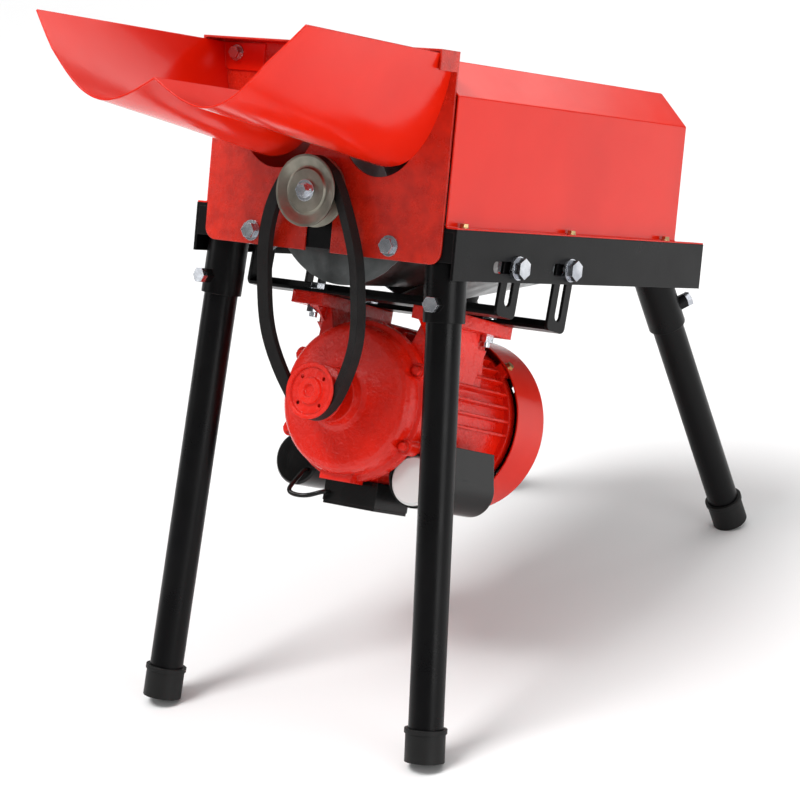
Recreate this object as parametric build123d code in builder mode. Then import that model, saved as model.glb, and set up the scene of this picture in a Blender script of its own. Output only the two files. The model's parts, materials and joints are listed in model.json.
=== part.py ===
"""Small electric corn sheller: frame, feed tray, threshing drum, hung motor and belt (mm, +Z up).

The machine stands on the floor (z = 0), rear end lower than the feed end.  Three frames are used:
MACHINE  origin on the rail tops at mid length, y rearward along the rails
CRADLE   origin on the front hanger bolts, y along the motor shaft
the world frame, origin on the floor under the middle of the whole machine
"""

import os
from math import asin, atan2, cos, degrees, hypot, radians, sin, sqrt

from build123d import *

# ---------------------------------------------------------------- stand
PITCH = 18.1  # rails slope down toward the rear
RAIL_TOP = 392.8  # height of the rail tops at mid length
FORE_SHIFT = 81.627  # world y of the rails' mid length
RUN_FIT = 0.05  # radial running clearance
SLIDE_GAP = 0.4  # gap between surfaces that pass each other

# ---------------------------------------------------------------- rails and cross members
RAIL_HALF = 227.0
RAIL_X = 147.0  # outer face
RAIL_LEG = 45.0
RAIL_T = 3.0
BAR_LEG = 30.0  # cross member leg
BAR_T = 3.0
SLOT_W = 46.0
SLOT_H = 11.0
HANGER_Z = -31.5
HANGER_Y = (-(RAIL_HALF - 103.0), -(RAIL_HALF - 195.0))
RAIL_SLOT_Y = (-(RAIL_HALF - 87.0), -(RAIL_HALF - 189.0))
SCREW_X = RAIL_X - 5.6
SCREW_Y = (-(RAIL_HALF - 19.0), -25.0, RAIL_HALF - 70.4)

# ---------------------------------------------------------------- legs
LEG_R = 16.0
LEG_WALL = 1.5
SOCKET_WALL = 2.95
SOCKET_R = LEG_R + RUN_FIT + SOCKET_WALL
SOCKET_LEN = 77.0
FOOT_WALL = 2.25
FOOT_R = LEG_R + FOOT_WALL
FOOT_LEN = 30.0
FOOT_FLOOR = 6.0
LEG_TRAVEL = 20.0
CLAMP_UP = 16.0  # clamp bolt above the socket rim

# ---------------------------------------------------------------- sheet work
PLATE_T = 2.0
SHEET_T = 1.5
PLATE_HALF = RAIL_X - 14.0
PLATE_Z = (-33.0, 154.0)
COB_X = 57.0
COB_Z = 80.0
COB_R = 41.0
LIP = 26.0
COVER_X = RAIL_X - 11.2
COVER_FOLD_Z = 115.8
COVER_TOP_X = COVER_X - 32.3
COVER_TOP_Z = 148.0
COVER_Y = (-(RAIL_HALF - 0.2), RAIL_HALF - 41.0)
FLANGE_X = RAIL_X - 0.5
TRAY_LEN = 248.0
TRAY_FRONT = -(RAIL_HALF + TRAY_LEN)
EAR_BOLT = (111.7, 140.7)
PLATE_BOLT = (78.0, -20.6)

# ---------------------------------------------------------------- drum
SHAFT_Z = 21.3
SHAFT_R = 8.5
DRUM_SHAFT_R = 12.5
DRUM_Y = (-(RAIL_HALF - 42.0), RAIL_HALF - 87.0)
DRUM_R = 42.0
TOOTH_HEIGHT = 10.0
TOOTH_TIP_R = DRUM_R + TOOTH_HEIGHT
BEARING_R = 17.5
BEARING_W = 10.0
BLOCK_Y = RAIL_HALF - 16.0
BLOCK_R = BEARING_R + 3.5
SIEVE_R = 72.0
SIEVE_Y = (-(RAIL_HALF - 37.0), DRUM_Y[1] - 40.0)
PAN_R = SIEVE_R + 12.0
PAN_Y = (-(RAIL_HALF - 35.0), -(RAIL_HALF - 129.0))

# ---------------------------------------------------------------- pulleys and belt
PULLEY_R = 32.6
PULLEY_FACE = -(RAIL_HALF + 30.0)
PULLEY_W = 18.0
MOTOR_PULLEY_R = 26.4
MOTOR_PULLEY_FACE = -79.8
BELT_W = 13.0
BELT_T = 10.0
BELT_SINK = 0.6  # belt back below the pulley rim

# ---------------------------------------------------------------- motor cradle
CRADLE_PITCH = 8.3
STRAP_W = 32.0
STRAP_T = 3.0
STRAP_IN = RAIL_X - RAIL_T - STRAP_T - SLIDE_GAP
STRAP_Y = (0.0, 91.0)
STRAP_Z = (-46.0, (23.5, 36.6))
TENSION_TRAVEL = 12.0
BAR_HALF = STRAP_IN
FOOT_BOLT_X = 70.0
BORE_R = 62.0
HOUSING_WALL = 8.0
HOUSING_R = BORE_R + HOUSING_WALL
FIN_R = HOUSING_R + 8.0
SHIELD_R = HOUSING_R + 6.0
MOTOR_Z = -(FIN_R + 63.5)
HOUSING_Y = (4.0, 148.0)
FAN_COVER_R = HOUSING_R + 15.5
MOTOR_SHAFT_R = 10.0
MOTOR_BEARING = (23.5, 14.0)



def beside_housing(angle, radius, gap):
    """Centre and radius of a capacitor lying a gap off the motor housing, at an angle round it."""
    reach = HOUSING_R + gap + radius
    return (reach * cos(radians(angle)), MOTOR_Z + reach * sin(radians(angle)), radius)


START_CAP = beside_housing(-42.2, 25.5, 0.6)
RUN_CAP = beside_housing(218.6, 25.0, 6.0)

os.makedirs("parts", exist_ok=True)


# ================================================================ frames and planes
def within(frame, plane):
    """Return a plane given in a frame's own coordinates as a world plane."""
    return Plane(frame.location * plane.location)


def tilted(origin, pitch):
    """Return a frame at origin whose y axis points rearward and down by pitch degrees."""
    angle = radians(pitch)
    return Plane(origin=origin, x_dir=(1, 0, 0), z_dir=(0, sin(angle), cos(angle)))


MACHINE = tilted((0, FORE_SHIFT, RAIL_TOP), PITCH)
CRADLE = within(MACHINE, tilted((0, HANGER_Y[0], HANGER_Z), CRADLE_PITCH))


def front(y, frame=MACHINE, x=0.0, z=0.0):
    """Plane across the machine at y: sketch x is x, sketch y is z, normal toward the front."""
    return within(frame, Plane(origin=(x, y, z), x_dir=(1, 0, 0), z_dir=(0, -1, 0)))


def side(x, frame=MACHINE, y=0.0, z=0.0):
    """Plane along the machine at x: sketch x is y, sketch y is z, normal toward +x."""
    return within(frame, Plane(origin=(x, y, z), x_dir=(0, 1, 0), z_dir=(1, 0, 0)))


def level(z, frame=MACHINE, x=0.0, y=0.0):
    """Plane parallel to the rail tops at z."""
    return within(frame, Plane(origin=(x, y, z), x_dir=(1, 0, 0), z_dir=(0, 0, 1)))


def aimed(point, direction, frame=MACHINE):
    """Plane at a point whose normal is the given direction, both in the frame's coordinates."""
    return within(frame, Plane(origin=point, z_dir=direction))


# ================================================================ repeated shapes
def turned(plane, outline):
    """Solid turned about the plane's x axis from (along, radius) corners."""
    with BuildPart() as solid:
        with BuildSketch(plane):
            with BuildLine():
                Polyline(*outline, close=True)
            make_face()
        revolve(axis=Axis(plane.origin, plane.x_dir))
    return solid.part


def tube(plane, outer, inner, length):
    """Tube standing on the plane along its normal."""
    with BuildPart() as solid:
        with BuildSketch(plane):
            Circle(outer)
            if inner > 0:
                Circle(inner, mode=Mode.SUBTRACT)
        extrude(amount=length)
    return solid.part


def block(frame, xs, ys, zs):
    """Box between pairs of x, y and z values of a frame."""
    with BuildPart() as solid:
        with BuildSketch(level(zs[0], frame)):
            with Locations(((xs[0] + xs[1]) / 2, (ys[0] + ys[1]) / 2)):
                Rectangle(xs[1] - xs[0], ys[1] - ys[0])
        extrude(amount=zs[1] - zs[0])
    return solid.part


def folded(plane, points, radius, thickness, length):
    """Bent sheet: a filleted centre line given a thickness, extruded along the plane's normal."""
    with BuildPart() as solid:
        with BuildSketch(plane):
            with BuildLine():
                FilletPolyline(*points, radius=radius)
            trace(line_width=thickness)
        extrude(amount=length)
    return solid.part


def hex_bolt(seat, radius, length, flats, head, washer=(0.0, 0.0)):
    """Hex bolt whose head stands on the seat plane and whose shank runs against its normal."""
    washer_r, washer_t = washer
    with BuildPart() as bolt:
        if washer_t > 0:
            with BuildSketch(seat):
                Circle(washer_r)
            extrude(amount=washer_t)
        with BuildSketch(seat.offset(washer_t)):
            RegularPolygon(radius=flats / 2, side_count=6, major_radius=False)
        extrude(amount=head)
        with BuildSketch(seat):
            Circle(radius)
        extrude(amount=-length)
    return bolt.part


def hex_nut(seat, radius, flats, height):
    """Hex nut pressed against the seat plane from below, round a shank of the given radius."""
    with BuildPart() as nut:
        with BuildSketch(seat):
            RegularPolygon(radius=flats / 2, side_count=6, major_radius=False)
            Circle(radius, mode=Mode.SUBTRACT)
        extrude(amount=-height)
    return nut.part


def joined(name, pieces):
    """Compound of separate loose pieces under one label."""
    solids = [solid for piece in pieces for solid in piece.solids()]
    return Compound(label=name, children=solids)


def groove(rim, width, depth, middle):
    """Corners of a V groove in (along, radius) form, for a pulley of rim radius rim."""
    wide = width / 2 + 1.1
    narrow = wide - depth * 0.3
    floor = rim - depth
    return [(middle - wide, rim), (middle - narrow, floor), (middle + narrow, floor), (middle + wide, rim)]


def save(name, shape):
    """Label a shape and write its STEP file."""
    shape.label = name
    export_step(shape, f"parts/{name}.step")


# ================================================================ rails
def rail(sign):
    """One slotted angle rail; sign picks the side."""
    with BuildPart() as angle:
        with BuildSketch(front(RAIL_HALF)):
            with BuildLine():
                Polyline(
                    (sign * RAIL_X, 0),
                    (sign * RAIL_X, -RAIL_LEG),
                    (sign * (RAIL_X - RAIL_T), -RAIL_LEG),
                    (sign * (RAIL_X - RAIL_T), -RAIL_T),
                    (sign * (RAIL_X - RAIL_LEG), -RAIL_T),
                    (sign * (RAIL_X - RAIL_LEG), 0),
                    close=True,
                )
            make_face()
        extrude(amount=2 * RAIL_HALF)
        with BuildSketch(side(0)):
            with Locations(*[(y, HANGER_Z) for y in RAIL_SLOT_Y]):
                SlotOverall(SLOT_W, SLOT_H)
        extrude(amount=sign * 200, mode=Mode.SUBTRACT)
        with BuildSketch(level(-RAIL_T)):
            with Locations(*[(sign * SCREW_X, y) for y in SCREW_Y]):
                Circle(2.5)
        extrude(amount=RAIL_T, mode=Mode.SUBTRACT)
    return angle.part


save("left_rail", rail(-1))
save("right_rail", rail(1))


def cross_member(sign):
    """Angle between the rails; sign -1 is the front one."""
    outer = sign * RAIL_HALF
    inner = sign * (RAIL_HALF - BAR_T)
    far = sign * (RAIL_HALF - BAR_LEG)
    with BuildPart() as bar:
        add(block(MACHINE, (-(RAIL_X - RAIL_T), RAIL_X - RAIL_T), sorted((outer, inner)), (-BAR_LEG, -RAIL_T)))
        half = RAIL_X - RAIL_LEG
        add(block(MACHINE, (-half, half), sorted((outer, far)), (-RAIL_T, 0)))
        with BuildSketch(level(-RAIL_T)):
            with Locations((-36, sign * BLOCK_Y), (36, sign * BLOCK_Y)):
                Circle(4.0)
        extrude(amount=RAIL_T, mode=Mode.SUBTRACT)
        if sign < 0:
            with BuildSketch(front(inner)):
                with Locations((-PLATE_BOLT[0], PLATE_BOLT[1]), PLATE_BOLT):
                    Circle(4.0)
            extrude(amount=BAR_T, mode=Mode.SUBTRACT)
    return bar.part


save("front_cross_member", cross_member(-1))
save("rear_cross_member", cross_member(1))


# ================================================================ sockets, legs, feet
def world_to_machine(x, y, z):
    """World point, measured from the rails' mid length on the floor, in machine coordinates."""
    a = radians(PITCH)
    return (x, y * cos(a) - (z - RAIL_TOP) * sin(a), y * sin(a) + (z - RAIL_TOP) * cos(a))


RIM_X = RAIL_X - RAIL_T - SOCKET_R + 2.2
FRONT_RIM_Y = -(RAIL_HALF - BAR_T - SOCKET_R - 0.6)
REAR_RIM_Y = RAIL_HALF - 21.2
RIM_Z = -84.0

# rim centre of each socket and the floor point its leg aims at
LEG_SETS = {
    "front_right": ((RIM_X, FRONT_RIM_Y, RIM_Z), world_to_machine(RIM_X + 26.8, -(RAIL_HALF + 121), 0)),
    "front_left": ((-RIM_X, FRONT_RIM_Y, RIM_Z), world_to_machine(-(RIM_X + 26.8), -(RAIL_HALF + 121), 0)),
    "rear_right": ((RIM_X - 1.2, REAR_RIM_Y, RIM_Z), world_to_machine(RIM_X + 18.8, RAIL_HALF + 20, 0)),
    "rear_left": ((1.2 - RIM_X, REAR_RIM_Y, RIM_Z), world_to_machine(-(RIM_X + 18.8), RAIL_HALF + 20, 0)),
}


def leg_plane(rim, target, along):
    """Plane square to a leg at a distance along it from the socket rim, normal pointing down the leg."""
    direction = Vector(*target) - Vector(*rim)
    direction = direction.normalized()
    point = Vector(*rim) + direction * along
    return aimed(tuple(point), tuple(direction))


def leg_reach(rim, target):
    """Distance from the socket rim to the sole, so that the sole's lowest edge is on the floor."""
    lower = leg_plane(rim, target, 0)
    drop = -lower.z_dir.Z
    lean = sqrt(1 - drop * drop)
    return (lower.origin.Z - FOOT_R * lean) / drop


def clamp_direction(name, rim, target):
    """Direction of a clamp bolt, square to its leg."""
    axis = (Vector(*target) - Vector(*rim)).normalized()
    sign = 1 if "right" in name else -1
    aim = Vector(sign * 0.16, -0.99, 0) if "front" in name else Vector(sign * 0.574, 0.668, 0.473)
    return (aim - axis * aim.dot(axis)).normalized()


clamps = []
for name, (rim, target) in LEG_SETS.items():
    axis = (Vector(*target) - Vector(*rim)).normalized()
    clamp = clamp_direction(name, rim, target)
    bolt_root = Vector(*rim) - axis * CLAMP_UP
    with BuildPart() as socket:
        with BuildSketch(leg_plane(rim, target, -SOCKET_LEN)):
            Circle(SOCKET_R)
        extrude(amount=SOCKET_LEN)
        with BuildSketch(aimed(tuple(bolt_root + clamp * (LEG_R + 1)), tuple(clamp))):
            RegularPolygon(radius=6.5, side_count=6, major_radius=False)
        extrude(amount=SOCKET_R + 7.5 - LEG_R - 1)
        with BuildSketch(leg_plane(rim, target, -SOCKET_LEN)):
            Circle(LEG_R + RUN_FIT)
        extrude(amount=SOCKET_LEN, mode=Mode.SUBTRACT)
        with BuildSketch(aimed(tuple(bolt_root), tuple(clamp))):
            Circle(4.0)
        extrude(amount=40, mode=Mode.SUBTRACT)
    save(f"{name}_socket", socket.part)

    seat = aimed(tuple(bolt_root + clamp * (SOCKET_R + 7.5)), tuple(clamp))
    clamps.append(hex_bolt(seat, 4.0, SOCKET_R + 7.5 - LEG_R - SLIDE_GAP, 13.0, 5.3))

    reach = leg_reach(rim, target)
    top = -SOCKET_LEN + 6
    with BuildPart() as leg:
        with BuildSketch(leg_plane(rim, target, top)):
            Circle(LEG_R)
            Circle(LEG_R - LEG_WALL, mode=Mode.SUBTRACT)
        extrude(amount=reach - FOOT_FLOOR - top)
    save(f"{name}_leg", leg.part)

    sole = leg_plane(rim, target, reach)
    with BuildPart() as foot:
        with BuildSketch(sole):
            Circle(FOOT_R)
        extrude(amount=-FOOT_LEN)
        with BuildSketch(sole.offset(-FOOT_LEN)):
            Circle(FOOT_R + 1.2)
        extrude(amount=4)
        with BuildSketch(sole.offset(-FOOT_FLOOR)):
            Circle(LEG_R)
        extrude(amount=-FOOT_LEN, mode=Mode.SUBTRACT)
    save(f"{name}_foot", foot.part)

save("clamp_bolts", joined("clamp_bolts", clamps))

# ================================================================ front plate
PLATE_BACK = -RAIL_HALF
PLATE_FACE = PLATE_BACK - PLATE_T

with BuildPart() as front_plate:
    with BuildSketch(front(PLATE_BACK)):
        with Locations((0, sum(PLATE_Z) / 2)):
            Rectangle(2 * PLATE_HALF, PLATE_Z[1] - PLATE_Z[0])
        with Locations((-COB_X, COB_Z), (COB_X, COB_Z)):
            Circle(COB_R, mode=Mode.SUBTRACT)
        with Locations((-1.5, SHAFT_Z)):
            Circle(14.5, mode=Mode.SUBTRACT)
        with Locations((-1.5, (SHAFT_Z + PLATE_Z[0]) / 2)):
            Rectangle(29, SHAFT_Z - PLATE_Z[0], mode=Mode.SUBTRACT)
        with Locations((-PLATE_BOLT[0], PLATE_BOLT[1]), PLATE_BOLT):
            Circle(4.0, mode=Mode.SUBTRACT)
        with Locations((-EAR_BOLT[0], EAR_BOLT[1]), EAR_BOLT):
            Circle(3.0, mode=Mode.SUBTRACT)
    extrude(amount=PLATE_T)
    low_corners = front_plate.edges().filter_by(Axis((0, 0, 0), MACHINE.y_dir))
    low_corners = [e for e in low_corners if abs(abs(e.center().X) - PLATE_HALF) < 0.1]
    low_corners = sorted(low_corners, key=lambda e: e.center().Z)[:2]
    fillet(low_corners, radius=12)
    with BuildSketch(level(PLATE_Z[1] - PLATE_T)):
        with Locations((0, PLATE_FACE - LIP / 2)):
            Rectangle(2 * PLATE_HALF, LIP)
    extrude(amount=PLATE_T)
    for sign in (-1, 1):
        xs = sorted((sign * (PLATE_HALF - PLATE_T), sign * PLATE_HALF))
        add(block(MACHINE, xs, (PLATE_FACE - LIP, PLATE_FACE), (PLATE_Z[1] - 18, PLATE_Z[1] - 1)))
save("front_plate", front_plate.part)

seats = [front(PLATE_FACE, x=s * PLATE_BOLT[0], z=PLATE_BOLT[1]) for s in (-1, 1)]
backs = [front(PLATE_BACK + BAR_T, x=s * PLATE_BOLT[0], z=PLATE_BOLT[1]) for s in (-1, 1)]
bolts = [hex_bolt(s, 4.0, 14.0, 13.0, 5.5, (9.5, 1.6)) for s in seats]
nuts = [hex_nut(b, 4.0, 13.0, 6.5) for b in backs]
save("plate_bolts", joined("plate_bolts", bolts + nuts))

# ================================================================ feed tray
# half sections from the middle ridge outward, sheet middle line, (x, z)
TRAY_BACK_LINE = [
    (0, 99),
    (16, 80),
    (38, 57),
    (63, 49.5),
    (87, 55),
    (104, 72),
    (116, 96),
    (123.6, 122),
    (128.4, 150),
]
TRAY_FRONT_LINE = [
    (0, 103.5),
    (15, 95),
    (34, 86.5),
    (55, 82.8),
    (76, 88.5),
    (94, 101),
    (112, 118.5),
    (128.5, 136),
    (145.5, 154.5),
]


def offset_points(points, distance):
    """Shift a polyline's points sideways by a distance along the local normal."""
    shifted = []
    last = len(points) - 1
    for i, (x, z) in enumerate(points):
        x0, z0 = points[max(i - 1, 0)]
        x1, z1 = points[min(i + 1, last)]
        run = hypot(x1 - x0, z1 - z0)
        dx = -(z1 - z0) / run * distance
        dz = (x1 - x0) / run * distance
        shifted.append((x + (dx if i > 0 else 0), z + (dz if i > 0 else distance * 1.25)))
    return shifted


def tray_section(plane, line):
    """Closed section of the tray sheet on a plane."""
    upper = offset_points(line, SHEET_T / 2)
    lower = offset_points(line, -SHEET_T / 2)
    mirrored_upper = [(-x, z) for x, z in upper]
    mirrored_lower = [(-x, z) for x, z in lower]
    with BuildSketch(plane) as section:
        with BuildLine():
            Spline(*upper)
            Line(upper[-1], lower[-1])
            Spline(*lower[::-1])
            Spline(*mirrored_lower)
            Line(mirrored_lower[-1], mirrored_upper[-1])
            Spline(*mirrored_upper[::-1])
        make_face()
    return section.sketch


with BuildPart() as feed_tray:
    ends = [tray_section(front(PLATE_FACE), TRAY_BACK_LINE), tray_section(front(TRAY_FRONT), TRAY_FRONT_LINE)]
    loft(sections=ends, ruled=True)
    for sign in (-1, 1):
        with BuildSketch(side(sign * 100)):
            with BuildLine():
                Polyline((TRAY_FRONT - 1, 118), (TRAY_FRONT - 1, 160), (TRAY_FRONT + 10, 160), close=True)
            make_face()
        extrude(amount=sign * 60, mode=Mode.SUBTRACT)
        with BuildSketch(front(PLATE_FACE)):
            with BuildLine():
                FilletPolyline(
                    (sign * 128.2, 150),
                    (sign * 124.2, 125),
                    (sign * 80, 125),
                    (sign * 80, 150.5),
                    radius=6,
                )
                Line((sign * 80, 150.5), (sign * 128.2, 150))
            make_face()
            with Locations((sign * EAR_BOLT[0], EAR_BOLT[1])):
                Circle(3.0, mode=Mode.SUBTRACT)
        extrude(amount=SHEET_T)
save("feed_tray", feed_tray.part)

ears = [front(PLATE_FACE - SHEET_T, x=s * EAR_BOLT[0], z=EAR_BOLT[1]) for s in (-1, 1)]
save("tray_bolts", joined("tray_bolts", [hex_bolt(s, 3.0, SHEET_T + PLATE_T, 10.0, 5.0, (7.5, 1.4)) for s in ears]))

# ================================================================ cover and rear plate
with BuildPart() as cover:
    half = SHEET_T / 2
    with BuildSketch(front(COVER_Y[1])):
        with BuildLine():
            FilletPolyline(
                (-FLANGE_X, half),
                (-COVER_X + half, half),
                (-COVER_X + half, COVER_FOLD_Z),
                (-COVER_TOP_X, COVER_TOP_Z - half),
                (COVER_TOP_X, COVER_TOP_Z - half),
                (COVER_X - half, COVER_FOLD_Z),
                (COVER_X - half, half),
                (FLANGE_X, half),
                radius=2.0,
            )
        trace(line_width=SHEET_T)
    extrude(amount=COVER_Y[1] - COVER_Y[0])
    for sign in (-1, 1):
        xs = sorted((sign * (COVER_X - SHEET_T), sign * FLANGE_X))
        add(block(MACHINE, xs, (COVER_Y[1] - 1, RAIL_HALF), (0, SHEET_T)))
    with BuildSketch(level(0)):
        with Locations(*[(s * SCREW_X, y) for s in (-1, 1) for y in SCREW_Y]):
            Circle(2.5)
    extrude(amount=SHEET_T, mode=Mode.SUBTRACT)
save("cover", cover.part)

seats = [level(SHEET_T, x=s * SCREW_X, y=y) for s in (-1, 1) for y in SCREW_Y]
screws = [hex_bolt(seat, 2.5, 6.2, 7.5, 3.2, (4.3, 0.8)) for seat in seats]
save("cover_screws", joined("cover_screws", screws))

with BuildPart() as rear_plate:
    inner = COVER_X - SHEET_T - 0.1
    with BuildSketch(front(COVER_Y[1])):
        with BuildLine():
            Polyline(
                (-inner, 0),
                (-inner, COVER_FOLD_Z - 1.2),
                (-COVER_TOP_X + 1.0, COVER_TOP_Z - SHEET_T - 0.2),
                (COVER_TOP_X - 1.0, COVER_TOP_Z - SHEET_T - 0.2),
                (inner, COVER_FOLD_Z - 1.2),
                (inner, 0),
                close=True,
            )
        make_face()
        with BuildLine():
            Line((-105, 0), (105, 0))
            Line((105, 0), (105, 40))
            ThreePointArc((105, 40), (0, 95), (-105, 40))
            Line((-105, 40), (-105, 0))
        make_face(mode=Mode.SUBTRACT)
    extrude(amount=SHEET_T)
save("rear_plate", rear_plate.part)

# ================================================================ bearing blocks, shaft, drum
DRUM_AXIS = side(0, z=SHAFT_Z)


def bearing_block(y):
    """Low pillow block round one drum bearing."""
    with BuildPart() as pillow:
        add(block(MACHINE, (-46, 46), (y - 11, y + 11), (0, 8)))
        with BuildSketch(front(y + 7)):
            with Locations((0, SHAFT_Z)):
                Circle(BLOCK_R)
            with Locations((0, 6)):
                Rectangle(40, 12)
        extrude(amount=14)
        with BuildSketch(front(y + 20)):
            with Locations((0, SHAFT_Z)):
                Circle(BEARING_R)
        extrude(amount=40, mode=Mode.SUBTRACT)
        with BuildSketch(level(0)):
            with Locations((-36, y), (36, y)):
                Circle(4.0)
        extrude(amount=20, mode=Mode.SUBTRACT)
    return pillow.part


save("front_bearing_block", bearing_block(-BLOCK_Y))
save("rear_bearing_block", bearing_block(BLOCK_Y))

seats = [(s * 36, e * BLOCK_Y) for s in (-1, 1) for e in (-1, 1)]
bolts = [hex_bolt(level(8, x=x, y=y), 4.0, 20.0, 13.0, 5.5, (8.0, 1.6)) for x, y in seats]
nuts = [hex_nut(level(-RAIL_T, x=x, y=y), 4.0, 13.0, 6.5) for x, y in seats]
save("bearing_block_bolts", joined("bearing_block_bolts", bolts + nuts))

ring_planes = [front(e * BLOCK_Y + BEARING_W / 2, z=SHAFT_Z) for e in (-1, 1)]
rings = [tube(plane, BEARING_R, SHAFT_R + RUN_FIT, BEARING_W) for plane in ring_planes]
save("drum_bearings", joined("drum_bearings", rings))

SHAFT_FRONT = PULLEY_FACE + 6.0
SHAFT_REAR = RAIL_HALF + 2
save(
    "drum_shaft",
    turned(
        DRUM_AXIS,
        [
            (SHAFT_FRONT, 0),
            (SHAFT_FRONT, SHAFT_R),
            (DRUM_Y[0] - 11, SHAFT_R),
            (DRUM_Y[0] - 11, DRUM_SHAFT_R),
            (DRUM_Y[1] + 12, DRUM_SHAFT_R),
            (DRUM_Y[1] + 12, SHAFT_R),
            (SHAFT_REAR, SHAFT_R),
            (SHAFT_REAR, 0),
        ],
    ),
)

TOOTH_STEP = 28.0
TOOTH_ROWS = 4
with BuildPart() as threshing_drum:
    add(tube(front(DRUM_Y[1], z=SHAFT_Z), DRUM_R, DRUM_SHAFT_R, DRUM_Y[1] - DRUM_Y[0]))
    for row in range(TOOTH_ROWS):
        for i in range(int((DRUM_Y[1] - DRUM_Y[0] - 30) // TOOTH_STEP) + 1):
            angle = radians(row * 360 / TOOTH_ROWS + i * 14)
            y = DRUM_Y[0] + 22 + i * TOOTH_STEP
            direction = (cos(angle), 0, sin(angle))
            root = (direction[0] * (DRUM_R - 4), y, SHAFT_Z + direction[2] * (DRUM_R - 4))
            with BuildSketch(aimed(root, direction)):
                Circle(6.5)
            extrude(amount=TOOTH_TIP_R - DRUM_R + 4, taper=8)
save("threshing_drum", threshing_drum.part)

# ================================================================ sieve, pan, chute
with BuildPart() as concave_sieve:
    edge = sqrt(SIEVE_R**2 - SHAFT_Z**2)
    with BuildSketch(front(SIEVE_Y[1])):
        with Locations((0, SHAFT_Z)):
            Circle(SIEVE_R + 2)
            Circle(SIEVE_R, mode=Mode.SUBTRACT)
        with Locations((0, 60)):
            Rectangle(200, 120, mode=Mode.SUBTRACT)
    extrude(amount=SIEVE_Y[1] - SIEVE_Y[0])
    for sign in (-1, 1):
        xs = sorted((sign * (edge - 0.5), sign * (RAIL_X - 17)))
        add(block(MACHINE, xs, SIEVE_Y, (0, SHEET_T)))
    for angle in range(-70, 71, 20):
        direction = (sin(radians(angle)), 0, -cos(radians(angle)))
        for y in range(int(SIEVE_Y[0]) + 25, int(SIEVE_Y[1]) - 9, 50):
            root = (direction[0] * (SIEVE_R - 17), y, SHAFT_Z + direction[2] * (SIEVE_R - 17))
            with BuildSketch(within(MACHINE, Plane(origin=root, x_dir=(0, 1, 0), z_dir=direction))):
                SlotOverall(38, 12)
            extrude(amount=30, mode=Mode.SUBTRACT)
save("concave_sieve", concave_sieve.part)

with BuildPart() as belly_pan:
    rim_z = -RAIL_T - 1.0
    with BuildSketch(front(PAN_Y[1])):
        with Locations((0, SHAFT_Z)):
            Circle(PAN_R)
            Circle(PAN_R - 1, mode=Mode.SUBTRACT)
        with Locations((0, rim_z + 100)):
            Rectangle(300, 200, mode=Mode.SUBTRACT)
    extrude(amount=PAN_Y[1] - PAN_Y[0])
    with BuildSketch(front(PAN_Y[0] + 1)):
        with Locations((0, SHAFT_Z)):
            Circle(PAN_R)
        with Locations((0, rim_z + 100)):
            Rectangle(300, 200, mode=Mode.SUBTRACT)
    extrude(amount=1)
    for sign in (-1, 1):
        pan_edge = sqrt(PAN_R**2 - (SHAFT_Z - rim_z) ** 2)
        xs = sorted((sign * (pan_edge - 0.6), sign * (RAIL_X - 33)))
        add(block(MACHINE, xs, PAN_Y, (rim_z, rim_z + 1)))
save("belly_pan", belly_pan.part)

CHUTE_KEEL = [(-96.0, -72.0), (-50.0, -74.0), (22.0, -73.0), (192.0, -52.0)]
CHUTE_HALF = 90.0
CHUTE_RISE = 0.48


def chute_sheet(lift):
    """Sloping V prism whose keel line is lifted by lift, used twice to leave a thin sheet."""
    with BuildPart() as prism:
        sections = []
        for y, z in CHUTE_KEEL:
            top = z + CHUTE_HALF * CHUTE_RISE
            with BuildSketch(front(y)) as section:
                with BuildLine():
                    Polyline(
                        (0, z + lift),
                        (CHUTE_HALF, top + lift),
                        (CHUTE_HALF, top + 30),
                        (-CHUTE_HALF, top + 30),
                        (-CHUTE_HALF, top + lift),
                        close=True,
                    )
                make_face()
            sections.append(section.sketch)
        loft(sections=sections, ruled=True)
    return prism.part


with BuildPart() as grain_chute:
    add(chute_sheet(0.0))
    add(chute_sheet(1.3), mode=Mode.SUBTRACT)
save("grain_chute", grain_chute.part)

# ================================================================ sheller pulley and bolt
PULLEY_MID = PULLEY_FACE + PULLEY_W / 2
GROOVE_DEPTH = BELT_T + 1.2
pulley_back = PULLEY_FACE + PULLEY_W
save(
    "sheller_pulley",
    turned(
        DRUM_AXIS,
        [(pulley_back, SHAFT_R), (pulley_back, PULLEY_R)]
        + groove(PULLEY_R, BELT_W, GROOVE_DEPTH, PULLEY_MID)[::-1]
        + [
            (PULLEY_FACE, PULLEY_R),
            (PULLEY_FACE, PULLEY_R - 2.0),
            (PULLEY_FACE + 2.6, PULLEY_R - 8.0),
            (PULLEY_FACE + 3.4, 22.5),
            (PULLEY_FACE + 3.2, 21.0),
            (PULLEY_FACE + 1.6, 19.5),
            (PULLEY_FACE + 1.6, SHAFT_R),
        ],
    ),
)
bolt_seat = front(PULLEY_FACE + 1.6, z=SHAFT_Z)
with BuildPart() as pulley_bolt:
    add(tube(bolt_seat, 9.8, 0, 1.8))
    add(tube(bolt_seat.offset(1.8), 6.6, 0, 1.6))
    add(hex_bolt(bolt_seat.offset(3.4), 3.0, 3.4 + 4.3, 10.5, 5.0))
save("pulley_bolt", pulley_bolt.part)


# ================================================================ hanger bolts
hangers = []
for sign in (-1, 1):
    for y in HANGER_Y:
        seat = aimed((sign * RAIL_X, y, HANGER_Z), (sign, 0, 0))
        hangers.append(hex_bolt(seat, 5.0, RAIL_X - 129.5, 17.0, 6.4, (11.0, 3.0)))
        hangers.append(hex_nut(aimed((sign * (STRAP_IN - SLIDE_GAP), y, HANGER_Z), (sign, 0, 0)), 5.0, 17.0, 8.0))
save("hanger_bolts", joined("hanger_bolts", hangers))


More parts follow.
